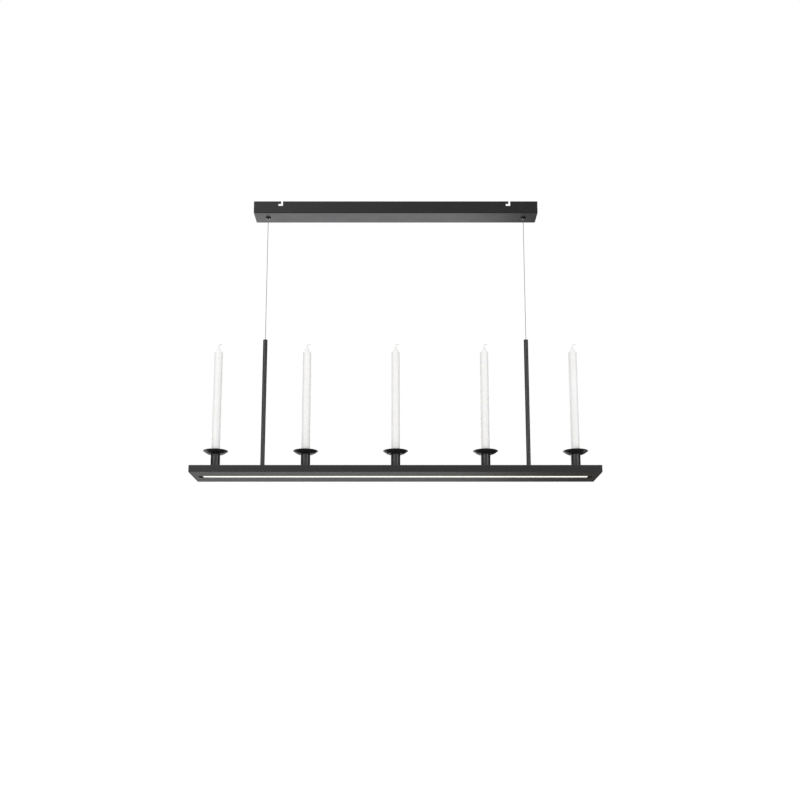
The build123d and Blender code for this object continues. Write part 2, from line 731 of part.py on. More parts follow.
leg_outer = channel_inside - ledge_reach - channel_play
plate_edge = channel_inside - channel_play
diffuser_outline = Polyline(
    (plate_edge, diffuser_top - diffuser_thickness),
    (plate_edge, diffuser_top),
    (leg_outer, diffuser_top),
    (leg_outer, diffuser_top + diffuser_leg_height),
    (leg_outer - diffuser_leg, diffuser_top + diffuser_leg_height),
    (leg_outer - diffuser_leg, diffuser_top),
    (diffuser_leg - leg_outer, diffuser_top),
    (diffuser_leg - leg_outer, diffuser_top + diffuser_leg_height),
    (-leg_outer, diffuser_top + diffuser_leg_height),
    (-leg_outer, diffuser_top),
    (-plate_edge, diffuser_top),
    (-plate_edge, diffuser_top - diffuser_thickness),
    close=True,
)
diffuser_half = diffuser_length / 2 - channel_play
parts["diffuser"] = extrude(Plane.YZ * make_face(diffuser_outline), diffuser_half, both=True)

led_half = diffuser_length / 2 - led_board_end_gap
half_board = led_board_width / 2
board_bottom = board_top - led_board_thickness
parts["led_board"] = block(-led_half, led_half, -half_board, half_board, board_bottom, board_top)
chip_count = int((2 * led_half - led_chip) // led_pitch) + 1
chip_low = board_bottom - led_chip_thickness
chip = Pos(0, 0, chip_low) * Box(led_chip, led_chip, led_chip_thickness, align=standing)
chip_places = [(i - (chip_count - 1) / 2) * led_pitch for i in range(chip_count)]
parts["led_chips"] = Compound(children=[Pos(x, 0, 0) * chip for x in chip_places])

# ---- Candle holders ------------------------------------------------------------------------------
socket_radius = socket_diameter / 2
cup_radius = socket_radius - socket_wall
bead_bottom = pan_bottom - bead_height
screw_hole = holder_screw / 2 + thread_play
socket = turned(
    (screw_hole, 0),
    (socket_radius, 0),
    (socket_radius, bead_bottom),
    (socket_radius + bead_reach * 0.7, bead_bottom + bead_height * 0.3),
    (socket_radius + bead_reach, bead_bottom + bead_height),
    (socket_radius, bead_bottom + bead_height),
    (socket_radius, socket_height - socket_edge),
    (socket_radius - socket_edge, socket_height),
    (cup_radius, socket_height),
    (cup_radius, socket_floor),
    (0, socket_floor),
    (0, holder_screw_depth + holder_screw_end_gap),
    (screw_hole, holder_screw_depth + holder_screw_end_gap),
)


def drip_pan():
    """The saucer round a socket: a flat middle with an upturned collar, a curved bowl and a beaded rim."""
    hole = socket_radius + pan_play
    flat = pan_flat_diameter / 2
    rim = pan_diameter / 2 - pan_rim_bead / 2
    rim_z = pan_rise - pan_rim_bead / 2
    belly = ((flat + rim) / 2 + pan_belly, rim_z * pan_belly_rise)
    belly_top = (belly[0] - pan_sheet * 0.4, belly[1] + pan_sheet)
    under = Line((hole, 0), (flat, 0)) + ThreePointArc((flat, 0), belly, (rim, rim_z - pan_sheet / 2))
    over = ThreePointArc((rim, rim_z + pan_sheet / 2), belly_top, (flat, pan_sheet))
    over += Polyline(
        (flat, pan_sheet),
        (hole + pan_sheet, pan_sheet),
        (hole + pan_sheet, pan_collar_height),
        (hole, pan_collar_height),
        (hole, 0),
    )
    edge = Line((rim, rim_z - pan_sheet / 2), (rim, rim_z + pan_sheet / 2))
    bowl = revolve(Plane.XZ * make_face(under + edge + over), Axis.Z)
    bead = revolve(Plane.XZ * (Pos(rim, rim_z) * Circle(pan_rim_bead / 2)), Axis.Z)
    return Pos(0, 0, pan_bottom) * (bowl + bead)


# ---- Candles -------------------------------------------------------------------------------------
candle_top = candle_shoulder + candle_cone
wick_hole = wick_diameter / 2 + wick_play
base_r, top_r = candle_base_diameter / 2, candle_top_diameter / 2
start_r, end_r = candle_cone_start / 2, candle_cone_end / 2
turn_z = candle_shoulder + candle_shoulder_round
shoulder_mid = ((top_r + start_r) / 2 + 0.7, candle_shoulder + candle_shoulder_round * 0.75)
candle_edge = (
    Polyline((wick_hole, socket_floor), (base_r, socket_floor), (top_r, candle_shoulder))
    + ThreePointArc((top_r, candle_shoulder), shoulder_mid, (start_r, turn_z))
    + Polyline((start_r, turn_z), (end_r, candle_top), (wick_hole, candle_top), (wick_hole, socket_floor))
)
candle = revolve(Plane.XZ * make_face(candle_edge), Axis.Z)
wick_bend = wick_arc / math.radians(wick_lean)
straight_end = candle_top + wick_straight
wick_path = Line((0, 0, socket_floor), (0, 0, straight_end))
tip_arc = JernArc(start=(0, straight_end), tangent=(0, 1), radius=wick_bend, arc_size=-wick_lean)
wick_path += Plane.XZ * tip_arc
wick = sweep(Plane((0, 0, socket_floor), z_dir=(0, 0, 1)) * Circle(wick_diameter / 2), path=wick_path)

pan = drip_pan()
for i, x in enumerate(holder_places, start=1):
    here = Pos(x, 0, beam_top)
    parts[f"candle_socket_{i}"] = here * socket
    parts[f"drip_pan_{i}"] = here * pan
    parts[f"candle_{i}"] = here * candle
    parts[f"wick_{i}"] = here * wick
holder_bolt = Rot(180, 0, 0) * screw(
    holder_screw, holder_screw_depth + beam_sheet, holder_screw_head, holder_screw_head_height
)
parts["holder_screws"] = Compound(children=[Pos(x, 0, beam_ceiling) * holder_bolt for x in holder_places])

# ---- Files ---------------------------------------------------------------------------------------
os.makedirs("parts", exist_ok=True)
for name, shape in parts.items():
    export_step(shape, f"parts/{name}.step")
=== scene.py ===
"""Looks of a linear island pendant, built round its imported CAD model.

A slim black canopy holds a long flat beam by two fine wires and two rods. The beam has a light line in its
underside and five taper candles in saucer holders on its top. Lengths are metres in the frame of the CAD model: the
origin is the middle of the canopy's upper rim, +Z is up, X runs along the beam and -Y is the front.
"""

from __future__ import annotations

import json
import logging
import math
from dataclasses import dataclass, field
from enum import Enum

import bmesh
import bpy
from mathutils import Matrix, Quaternion, Vector, noise

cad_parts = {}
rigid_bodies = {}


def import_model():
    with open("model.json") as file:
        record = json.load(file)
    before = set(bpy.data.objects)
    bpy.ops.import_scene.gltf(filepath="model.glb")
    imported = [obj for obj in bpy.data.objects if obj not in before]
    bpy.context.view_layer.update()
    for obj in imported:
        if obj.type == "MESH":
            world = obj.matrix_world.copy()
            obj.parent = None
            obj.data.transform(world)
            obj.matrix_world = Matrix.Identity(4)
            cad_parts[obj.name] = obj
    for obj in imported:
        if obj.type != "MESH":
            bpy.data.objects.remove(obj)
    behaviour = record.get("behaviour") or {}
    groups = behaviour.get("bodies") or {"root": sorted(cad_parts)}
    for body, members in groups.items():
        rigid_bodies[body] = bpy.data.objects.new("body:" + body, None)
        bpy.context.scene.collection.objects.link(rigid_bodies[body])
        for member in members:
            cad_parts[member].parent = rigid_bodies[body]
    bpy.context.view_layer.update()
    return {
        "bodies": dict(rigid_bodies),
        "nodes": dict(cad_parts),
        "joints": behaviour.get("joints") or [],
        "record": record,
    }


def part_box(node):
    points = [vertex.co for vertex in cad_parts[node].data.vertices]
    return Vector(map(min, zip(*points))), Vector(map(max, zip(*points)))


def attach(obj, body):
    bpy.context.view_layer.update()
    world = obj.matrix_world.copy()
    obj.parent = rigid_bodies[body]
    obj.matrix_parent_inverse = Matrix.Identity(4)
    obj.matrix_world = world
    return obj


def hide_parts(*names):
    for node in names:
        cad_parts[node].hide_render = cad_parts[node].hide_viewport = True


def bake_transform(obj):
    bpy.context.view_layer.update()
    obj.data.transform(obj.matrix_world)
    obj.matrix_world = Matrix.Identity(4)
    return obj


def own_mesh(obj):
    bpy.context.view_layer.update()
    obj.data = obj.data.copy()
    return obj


Shape = bmesh.types.BMesh
Ring = list[bmesh.types.BMVert]
Piece = bpy.types.Object
Material = bpy.types.Material
Node = bpy.types.Node
Socket = bpy.types.NodeSocket
Colour = tuple[float, float, float]
Place = tuple[float, float, float]
Outline = list[tuple[float, float]]

LOG = logging.getLogger("pendant")
HOLDERS = 5
MM = 0.001
WELD = 0.001 * MM
UP = (0.0, 0.0, 1.0)
WHITE = (1.0, 1.0, 1.0, 1.0)


class Side(Enum):
    """The two suspension points, and which way each lies along X."""

    LEFT = -1
    RIGHT = 1

    @property
    def word(self) -> str:
        """The side's name as the CAD nodes spell it."""
        return self.name.lower()


# ---- Shader groups that several finishes share -----------------------------------------------------


class Tree:
    """Adds nodes and links to one node tree."""

    def __init__(self, tree: bpy.types.NodeTree) -> None:
        """Takes the node tree to be filled."""
        self.tree = tree

    def feed(self, socket: Socket, value: object) -> None:
        """Gives an input its value, or a link.

        Args:
            socket: the input.
            value: a plain value, or another node's output to be linked.
        """
        if isinstance(value, Socket):
            self.tree.links.new(value, socket)
        else:
            socket.default_value = value

    def add(self, kind: str, inputs: dict | None = None, **settings: object) -> Node:
        """Adds one node.

        Args:
            kind: the node's type name.
            inputs: values or output sockets for its inputs, by name or number.
            settings: the node's own properties.

        Returns:
            The new node.
        """
        node = self.tree.nodes.new(kind)
        for name, value in settings.items():
            setattr(node, name, value)
        for key, value in (inputs or {}).items():
            self.feed(node.inputs[key], value)
        return node

    def group(self, group: bpy.types.NodeTree, inputs: dict[str, object]) -> Node:
        """Places a shared group with its own values."""
        return self.add("ShaderNodeGroup", inputs, node_tree=group)

    def noise(self, where: Socket, scale: object, detail: float) -> Socket:
        """Adds a noise of the given scale and detail, and gives its height."""
        node = self.add("ShaderNodeTexNoise", {"Vector": where, "Scale": scale, "Detail": detail})
        return node.outputs[0]

    def math(self, operation: str, *values: object, clamp: bool = False) -> Socket:
        """Adds a Math node and gives its result."""
        node = self.add("ShaderNodeMath", dict(enumerate(values)), operation=operation, use_clamp=clamp)
        return node.outputs[0]

    def ramp(self, factor: Socket, low: float, high: float) -> Socket:
        """Stretches a factor so that low becomes 0 and high becomes 1."""
        return self.add("ShaderNodeMapRange", {0: factor, 1: low, 2: high, 3: 0.0, 4: 1.0}).outputs[0]

    def span(self, factor: Socket, low: float, high: float) -> Socket:
        """Turns a factor of 0 to 1 into a value of low to high."""
        return self.add("ShaderNodeMapRange", {0: factor, 3: low, 4: high}).outputs[0]

    def blend(self, factor: Socket, first: object, second: object) -> Socket:
        """Mixes two colours.

        Args:
            factor: 0 for the first colour and 1 for the second.
            first: a colour or an output.
            second: a colour or an output.

        Returns:
            The mixed colour.
        """
        node = self.add("ShaderNodeMix", data_type="RGBA")
        for key, value in {"Factor": factor, "A": first, "B": second}.items():
            fits = (s for s in node.inputs if s.name == key and (key == "Factor" or s.type == "RGBA"))
            self.feed(next(fits), value)
        return next(s for s in node.outputs if s.type == "RGBA")

    def bump(self, shader: Node, height: Socket, strength: float, depth: float) -> None:
        """Leads a height to a shader's normal through a Bump node."""
        node = self.add("ShaderNodeBump", {"Strength": strength, "Distance": depth, "Height": height})
        self.feed(shader.inputs["Normal"], node.outputs[0])


def new_group(name: str, inputs: dict[str, float], *outputs: str) -> tuple[bpy.types.NodeTree, Tree]:
    """Starts a shader group with a vector input, number inputs, and number outputs.

    Args:
        name: the group's name.
        inputs: each number input and its usual value.
        outputs: the name of each output.

    Returns:
        The group, and a Tree to fill it with.
    """
    group = bpy.data.node_groups.new(name, "ShaderNodeTree")
    group.interface.new_socket("Vector", in_out="INPUT", socket_type="NodeSocketVector")
    for key, value in inputs.items():
        socket = group.interface.new_socket(key, in_out="INPUT", socket_type="NodeSocketFloat")
        socket.default_value = value
    for key in outputs:
        group.interface.new_socket(key, in_out="OUTPUT", socket_type="NodeSocketFloat")
    return group, Tree(group)


def coat_group() -> bpy.types.NodeTree:
    """Powder coat: fine orange peel, and soft patches where it is a little thicker or has been touched.

    Returns:
        The group.
    """
    group, tree = new_group("powder_coat", {"Peel Scale": 900.0, "Patch Scale": 9.0}, "Height", "Patches")
    start = tree.add("NodeGroupInput").outputs
    peel = tree.noise(start["Vector"], start["Peel Scale"], 2.0)
    patch = tree.noise(start["Vector"], start["Patch Scale"], 3.0)
    tree.add("NodeGroupOutput", {"Height": peel, "Patches": tree.ramp(patch, 0.35, 0.65)})
    return group


def grain_group() -> bpy.types.NodeTree:
    """Drawn, turned or rolled metal: fine lines along X of the vector it is given, and faint blotches.

    Returns:
        The group.
    """
    group, tree = new_group("metal_grain", {"Line Scale": 1400.0, "Blotch Scale": 60.0}, "Lines", "Blotches")
    start = tree.add("NodeGroupInput").outputs
    squeezed = tree.add("ShaderNodeMapping", {"Vector": start["Vector"], "Scale": (0.02, 1.0, 1.0)})
    lines = tree.noise(squeezed.outputs[0], start["Line Scale"], 2.0)
    blotch = tree.noise(start["Vector"], start["Blotch Scale"], 4.0)
    tree.add("NodeGroupOutput", {"Lines": lines, "Blotches": blotch})
    return group


def dust_group() -> bpy.types.NodeTree:
    """A thin uneven film of dust on faces that look up.

    Returns:
        The group.
    """
    group, tree = new_group("dust_film", {"Amount": 0.2, "Scale": 70.0}, "Mask")
    start = tree.add("NodeGroupInput").outputs
    normal = tree.add("ShaderNodeNewGeometry").outputs["Normal"]
    up = tree.add("ShaderNodeSeparateXYZ", {0: normal}).outputs[2]
    facing = tree.ramp(up, 0.55, 1.0)
    clumps = tree.noise(start["Vector"], start["Scale"], 5.0)
    loose = tree.math("MULTIPLY", facing, tree.ramp(clumps, 0.3, 0.75))
    tree.add("NodeGroupOutput", {"Mask": tree.math("MULTIPLY", loose, start["Amount"], clamp=True)})
    return group


class Groups:
    """The shared groups, each made once."""

    def __init__(self) -> None:
        """Builds all of them."""
        self.coat = coat_group()
        self.grain = grain_group()
        self.dust = dust_group()


# ---- Finishes --------------------------------------------------------------------------------------


@dataclass(frozen=True)
class Finish:
    """A surface finish: its own name, its colour, and how it takes light."""

    name: str
    colour: Colour
    roughness: float = 0.5
    metallic: float = 0.0
    specular: float = 0.5

    def start(self) -> tuple[Material, Tree, Node, Socket]:
        """Makes the material with its plain values.

        Returns:
            The material, its tree, its Principled BSDF, and the Object coordinates.
        """
        material = bpy.data.materials.new(self.name)
        material.use_nodes = True
        tree = Tree(material.node_tree)
        shader = material.node_tree.nodes["Principled BSDF"]
        shader.inputs["Base Color"].default_value = (*self.colour, 1.0)
        shader.inputs["Roughness"].default_value = self.roughness
        shader.inputs["Metallic"].default_value = self.metallic
        shader.inputs["Specular IOR Level"].default_value = self.specular
        where = tree.add("ShaderNodeTexCoord").outputs["Object"]
        return material, tree, shader, where

    def shade(self, share: float) -> tuple[float, float, float, float]:
        """The finish's colour, lighter or darker by a share."""
        return (*(min(1.0, c * share) for c in self.colour), 1.0)

    def material(self, groups: Groups) -> Material:
        """Builds the material. Each kind of finish does this in its own way.

        Args:
            groups: the shader groups that finishes share.

        Returns:
            The material.
        """
        raise NotImplementedError


@dataclass(frozen=True)
class PowderCoat(Finish):
    """Black powder coat on sheet steel or turned steel."""

    peel: float = 0.25
    peel_scale: float = 900.0
    peel_depth: float = 0.06 * MM
    patch_scale: float = 24.0
    patch_shades: tuple[float, float] = (0.95, 1.06)
    patch_roughness: tuple[float, float] = (-0.012, 0.018)
    dust: float = 0.04
    dust_scale: float = 160.0
    dust_colour: Colour = (0.30, 0.29, 0.27)

    def material(self, groups: Groups) -> Material:
        """Orange peel in the normal, patches in roughness and colour, and a little dust on top.

        Args:
            groups: the shader groups that finishes share.

        Returns:
            The material.
        """
        material, tree, shader, where = self.start()
        sizes = {"Peel Scale": self.peel_scale, "Patch Scale": self.patch_scale}
        coat = tree.group(groups.coat, {"Vector": where, **sizes}).outputs
        film = {"Amount": self.dust, "Scale": self.dust_scale}
        dust = tree.group(groups.dust, {"Vector": where, **film}).outputs
        paint = tree.blend(coat["Patches"], *(self.shade(share) for share in self.patch_shades))
        tree.feed(shader.inputs["Base Color"], tree.blend(dust["Mask"], paint, (*self.dust_colour, 1.0)))
        rough = tree.span(coat["Patches"], *(self.roughness + more for more in self.patch_roughness))
        tree.feed(shader.inputs["Roughness"], rough)
        tree.bump(shader, coat["Height"], self.peel, self.peel_depth)
        return material


@dataclass(frozen=True)
class Metal(Finish):
    """Bare or plated metal with lines left by drawing or turning."""

    metallic: float = 1.0
    lines: float = 0.2
    line_scale: float = 1400.0
    line_depth: float = 0.04 * MM
    line_roughness: tuple[float, float] = (0.8, 1.25)
    blotch_scale: float = 90.0
    blotch_shades: tuple[float, float] = (0.86, 1.1)

    def material(self, groups: Groups) -> Material:
        """Fine lines in roughness and normal, and blotches in the colour.

        Args:
            groups: the shader groups that finishes share.

        Returns:
            The material.
        """
        material, tree, shader, where = self.start()
        sizes = {"Line Scale": self.line_scale, "Blotch Scale": self.blotch_scale}
        grain = tree.group(groups.grain, {"Vector": where, **sizes}).outputs
        tone = tree.blend(grain["Blotches"], *(self.shade(share) for share in self.blotch_shades))
        tree.feed(shader.inputs["Base Color"], tone)
        rough = tree.span(grain["Lines"], *(self.roughness * share for share in self.line_roughness))
        tree.feed(shader.inputs["Roughness"], rough)
        tree.bump(shader, grain["Lines"], self.lines, self.line_depth)
        return material


@dataclass(frozen=True)
class Moulded(Finish):
    """Moulded plastic or a printed board, with a fine spark-eroded texture."""

    texture: float = 0.2
    texture_scale: float = 1500.0
    texture_depth: float = 0.04 * MM
    flow_scale: float = 45.0
    flow_shades: tuple[float, float] = (0.93, 1.05)

    def material(self, groups: Groups) -> Material:
        """The mould's fine texture, and faint flow marks in the colour.

        Args:
            groups: the shader groups that finishes share.

        Returns:
            The material.
        """
        material, tree, shader, where = self.start()
        sizes = {"Peel Scale": self.texture_scale, "Patch Scale": self.flow_scale}
        coat = tree.group(groups.coat, {"Vector": where, **sizes}).outputs
        tone = tree.blend(coat["Patches"], *(self.shade(share) for share in self.flow_shades))
        tree.feed(shader.inputs["Base Color"], tone)
        tree.bump(shader, coat["Height"], self.texture, self.texture_depth)
        return material


@dataclass(frozen=True)
class Glow(Finish):
    """A lit surface: the diffuser, or the LED chips behind it.

    It shines from the beam's middle line out to full_to, and from dim_from on its light and its colour are as dark
    as its rim: painted shade where the channel's lips cover its edges.
    """

    light: Colour = (1.0, 0.93, 0.78)
    # rim and rim_share: the dim light and the dark colour at the diffuser's edges, painted shade of the channel's
    # lips
    rim: Colour = (1.0, 0.93, 0.78)
    rim_share: float = 0.05
    warmer: Colour = (0.98, 0.97, 0.94)
    mottle: float = 25.0
    strength: float = 1.0
    full_to: float = 1.0
    dim_from: float = 2.0

    def material(self, groups: Groups) -> Material:
        """Opal plastic that gives light, brightest along its middle, with painted shade beside the channel's walls:
        both its light and its colour are darkened there.

        Args:
            groups: the shader groups that finishes share.

        Returns:
            The material.
        """
        material, tree, shader, where = self.start()
        grain = tree.ramp(tree.noise(where, self.mottle, 2.0), 0.3, 0.7)
        warmer = (*(part * share for part, share in zip(self.light, self.warmer)), 1.0)
        light = tree.blend(grain, warmer, (*self.light, 1.0))
        across = tree.math("ABSOLUTE", tree.add("ShaderNodeSeparateXYZ", {0: where}).outputs[1])
        # painted shade: from dim_from on, the light and the plastic's colour fall to the dark rim values
        beside = tree.ramp(across, self.full_to, self.dim_from)
        tree.feed(shader.inputs["Emission Color"], tree.blend(beside, light, (*self.rim, 1.0)))
        plastic = tree.blend(beside, self.shade(1.0), self.shade(self.rim_share))
        tree.feed(shader.inputs["Base Color"], plastic)
        shader.inputs["Emission Strength"].default_value = self.strength
        return material


@dataclass(frozen=True)
class Wax(Finish):
    """Smooth white candle wax, slightly clouded."""

    depth: float = 4.0 * MM
    depth_weight: float = 0.15
    depth_colours: Colour = (1.0, 0.8, 0.6)
    skin: float = 0.25
    skin_scale: float = 160.0
    skin_depth: float = 0.2 * MM
    cloud_scale: float = 22.0
    cloud_shades: tuple[float, float] = (0.975, 1.01)

    def material(self, groups: Groups) -> Material:
        """Soft clouds in the colour, a shallow uneven skin, and light that goes a little way in.

        Args:
            groups: the shader groups that finishes share.

        Returns:
            The material.
        """
        material, tree, shader, where = self.start()
        sizes = {"Peel Scale": self.skin_scale, "Patch Scale": self.cloud_scale}
        coat = tree.group(groups.coat, {"Vector": where, **sizes}).outputs
        tone = tree.blend(coat["Patches"], *(self.shade(share) for share in self.cloud_shades))
        tree.feed(shader.inputs["Base Color"], tone)
        shader.inputs["Subsurface Weight"].default_value = self.depth_weight
        shader.inputs["Subsurface Radius"].default_value = self.depth_colours
        shader.inputs["Subsurface Scale"].default_value = self.depth
        tree.bump(shader, coat["Height"], self.skin, self.skin_depth)
        return material


@dataclass(frozen=True)
class Braid(Finish):
    """Cotton fibres along a strand."""

    fibre_scale: float = 4000.0
    fibre_shades: tuple[float, float] = (0.8, 1.08)
    relief: float = 0.5
    relief_depth: float = 0.1 * MM

    def material(self, groups: Groups) -> Material:
        """Fine fibres in the colour and the normal.

        Args:
            groups: the shader groups that finishes share.

        Returns:
            The material.
        """
        material, tree, shader, where = self.start()
        fibres = tree.noise(where, self.fibre_scale, 3.0)
        tone = tree.blend(tree.ramp(fibres, 0.3, 0.7), *(self.shade(share) for share in self.fibre_shades))
        tree.feed(shader.inputs["Base Color"], tone)
        tree.bump(shader, fibres, self.relief, self.relief_depth)
        return material


@dataclass(frozen=True)
class SleevedWire(Finish):
    """Fine stranded steel seen through a clear sleeve.

    It reads the wire's own UV map, in turns round the wire and metres along it.
    """

    strands: int = 7
    lay_length: float = 11.0 * MM
    strand_shades: tuple[float, float] = (0.45, 1.15)
    relief: float = 0.35
    relief_depth: float = 0.1 * MM
    sleeve: float = 0.6
    sleeve_roughness: float = 0.12

    def material(self, groups: Groups) -> Material:
        """Slanting strands in the colour and a soft relief, under a clear coat.

        Args:
            groups: the shader groups that finishes share.

        Returns:
            The material.
        """
        material, tree, shader, _ = self.start()
        uv = tree.add("ShaderNodeSeparateXYZ", {0: tree.add("ShaderNodeTexCoord").outputs["UV"]})
        turns = tree.math("MULTIPLY_ADD", uv.outputs[1], 1.0 / self.lay_length, uv.outputs[0])
        phase = tree.math("MULTIPLY", turns, self.strands * math.tau)
        strand = tree.math("MULTIPLY_ADD", tree.math("SINE", phase), 0.5, 0.5)
        tone = tree.blend(strand, *(self.shade(share) for share in self.strand_shades))
        tree.feed(shader.inputs["Base Color"], tone)
        shader.inputs["Coat Weight"].default_value = self.sleeve
        shader.inputs["Coat Roughness"].default_value = self.sleeve_roughness
        tree.bump(shader, strand, self.relief, self.relief_depth)
        return material


FINISHES: dict[str, Finish] = {
    "black_satin_paint": PowderCoat("satin_black_powder_coat", (0.0078, 0.0073, 0.0088), 0.42, specular=0.43),
    "black_holder_paint": PowderCoat(
        "black_holder_enamel", (0.018, 0.018, 0.0185), 0.29, specular=0.48, peel=0.12
    ),
    "black_plating": Metal("black_plated_brass", (0.05, 0.05, 0.052), 0.3, specular=0.5, lines=0.15),
    "bright_nickel": Metal("polished_nickel", (0.78, 0.76, 0.72), 0.16, lines=0.08),
    "steel": Metal("zinc_plated_steel", (0.62, 0.63, 0.65), 0.3, lines=0.25),
    "spring_steel": Metal("spring_steel", (0.45, 0.45, 0.46), 0.28, lines=0.2),
    "aluminium": Metal("natural_anodised_aluminium", (0.78, 0.78, 0.79), 0.34, lines=0.3),
    "driver_metal": Metal("driver_extrusion", (0.62, 0.63, 0.64), 0.38, lines=0.35),
    "brass": Metal("turned_brass", (0.80, 0.60, 0.26), 0.28, lines=0.25),
    "dark_end_cap": Moulded("black_moulded_cap", (0.006, 0.006, 0.006), 0.75, specular=0.12),
    "driver_plastic": Moulded("driver_cap_plastic", (0.72, 0.72, 0.70), 0.5),
    "terminal_plastic": Moulded("terminal_nylon", (0.80, 0.79, 0.74), 0.42),
    "clip_plastic": Moulded("wire_clip_nylon", (0.66, 0.66, 0.64), 0.45),
    "led_board": Moulded("led_strip_solder_mask", (0.82, 0.82, 0.80), 0.4, texture=0.1),
    "circuit_board": Moulded("green_circuit_board", (0.03, 0.16, 0.06), 0.35, texture=0.15),
    "led_phosphor": Glow("led_phosphor", (0.9, 0.75, 0.25), 0.4, light=(1.0, 0.85, 0.5), strength=2.0),
    "opal": Glow(
        "lit_opal_diffuser",
        (0.6, 0.59, 0.55),
        0.35,
        light=(1.0, 0.98, 0.91),
        # painted shade of the channel's lips: the dark rim light, and the dark colour from dim_from on
        rim=(0.09, 0.08, 0.045),
        strength=0.8,
        full_to=6.8 * MM,
        dim_from=10.2 * MM,
    ),
    "clear_wire": SleevedWire("sleeved_steel_wire", (0.22, 0.215, 0.2), 0.35, metallic=0.35),
    "candle_wax": Wax("white_candle_wax", (0.90, 0.895, 0.885), 0.42, specular=0.4),
    "wick_cotton": Braid("wick_cotton", (0.84, 0.82, 0.77), 0.85, specular=0.2),
}


class Palette:
    """Makes each finish's material once and hands it out by the record's slot name."""

    def __init__(self) -> None:
        """Starts with the shared groups and no material."""
        self.groups = Groups()
        self.made: dict[str, Material] = {}

    def get(self, slot: str) -> Material:
        """The material for a slot of the record.

        Args:
            slot: the slot's name.

        Returns:
            Its material, the same one each time.
        """
        if slot not in self.made:
            self.made[slot] = FINISHES[slot].material(self.groups)
        return self.made[slot]


# ---- Ways of making a mesh -------------------------------------------------------------------------


def finished(shape: Shape, name: str, material: Material, smooth: bool = True) -> Piece:
    """Turns a bmesh into an object at the origin.

    Args:
        shape: the mesh in the frame's coordinates; it is freed.
        name: the piece's name.
        material: its finish.
        smooth: whether its faces are shaded smooth.

    Returns:
        The new object, linked to the scene.
    """
    mesh = bpy.data.meshes.new(name)
    for face in shape.faces:
        face.smooth = smooth
    shape.to_mesh(mesh)
    shape.free()
    mesh.materials.append(material)
    piece = bpy.data.objects.new(name, mesh)
    bpy.context.scene.collection.objects.link(piece)
    return piece


def lathe(outline: Outline, centre: Vector, steps: int = 96) -> Shape:
    """Spins an outline of (radius, height) points about a vertical axis.

    Args:
        outline: metres from the axis and from the centre's height. It may start and end on the axis.
        centre: where the axis and height 0 are.
        steps: faces round the axis.

    Returns:
        A closed bmesh with its normals outwards.
    """
    shape = bmesh.new()
    points = [shape.verts.new(centre + Vector((r, 0.0, z))) for r, z in outline]
    edges = [shape.edges.new(pair) for pair in zip(points, points[1:])]
    if outline[0][0] > 0 and outline[-1][0] > 0:
        edges.append(shape.edges.new((points[-1], points[0])))
    turn = {"cent": centre, "axis": UP, "angle": math.tau, "steps": steps, "use_merge": True}
    bmesh.ops.spin(shape, geom=points + edges, **turn)
    bmesh.ops.remove_doubles(shape, verts=shape.verts, dist=WELD)
    bmesh.ops.recalc_face_normals(shape, faces=shape.faces)
    return shape


def arc(centre: tuple[float, float], radius: float, start: float, end: float, steps: int) -> Outline:
    """Points on an arc, for an outline.

    Args:
        centre: the arc's centre.
        radius: its radius.
        start: the first point's angle in degrees, where 0 points outwards and 90 up.
        end: the last point's angle.
        steps: how many chords it has.

    Returns:
        The points, both ends among them.
    """
    turns = [math.radians(start + (end - start) * i / steps) for i in range(steps + 1)]
    return [(centre[0] + radius * math.cos(t), centre[1] + radius * math.sin(t)) for t in turns]


def bridge(shape: Shape, first: Ring, second: Ring) -> None:
    """Joins two rings of as many vertices by faces.

    Args:
        shape: the mesh that they are in.
        first: the one ring.
        second: the other.
    """
    edges = [e for ring in (first, second) for v in ring for e in v.link_edges if e.other_vert(v) in ring]
    bmesh.ops.bridge_loops(shape, edges=list(dict.fromkeys(edges)))


def sharpen(piece: Piece, angle: float = 38.0) -> None:
    """Keeps the edges of a turned piece crisp where its outline turns sharply.

    Args:
        piece: the smooth-shaded piece.
        angle: the turn in degrees from which an edge is crisp.
    """
    mesh = piece.data
    shape = bmesh.new()
    shape.from_mesh(mesh)
    for edge in shape.edges:
        if len(edge.link_faces) == 2 and edge.calc_face_angle(0.0) > math.radians(angle):
            edge.smooth = False
    shape.to_mesh(mesh)
    shape.free()


def standing(node: str) -> tuple[Vector, float]:
    """Where a CAD node stands.

    Args:
        node: the node's name.

    Returns:
        The middle of the foot of its box, and how tall the box is.
    """
    low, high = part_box(node)
    return Vector(((low.x + high.x) / 2, (low.y + high.y) / 2, low.z)), high.z - low.z


class Route:
    """A cord's route: one NURBS spline of order 3 through the region of the points it is given."""

    def __init__(self, name: str, points: list[Vector]) -> None:
        """Makes the spline.

        Args:
            name: the curve's name.
            points: its control points, both ends among them.
        """
        self.curve = bpy.data.curves.new(name, "CURVE")
        self.curve.dimensions = "3D"
        self.curve.resolution_u = 24
        spline = self.curve.splines.new("NURBS")
        spline.points.add(len(points) - 1)
        for place, point in zip(spline.points, points):
            place.co = (*point, 1.0)
        spline.order_u = 3
        spline.use_endpoint_u = True
        self.name = name

    def mesh(self, radius: float = 0.0, around: int = 4) -> bpy.types.Mesh:
        """The spline as a mesh.

        Args:
            radius: the tube's radius, or 0 for a bare line of vertices.
            around: how finely the tube is rounded.

        Returns:
            The line, or the closed tube.
        """
        self.curve.bevel_depth = radius
        self.curve.bevel_resolution = around
        self.curve.use_fill_caps = radius > 0
        holder = bpy.data.objects.new(self.name + "_route", self.curve)
        bpy.context.scene.collection.objects.link(holder)
        bpy.context.view_layer.update()
        graph = bpy.context.evaluated_depsgraph_get()
        mesh = bpy.data.meshes.new_from_object(holder.evaluated_get(graph))
        bpy.data.objects.remove(holder)
        return mesh

    def line(self) -> list[Vector]:
        """The points that the spline itself gives, with no bevel."""
        return [v.co.copy() for v in self.mesh().vertices]


# ---- Studio ----------------------------------------------------------------------------------------


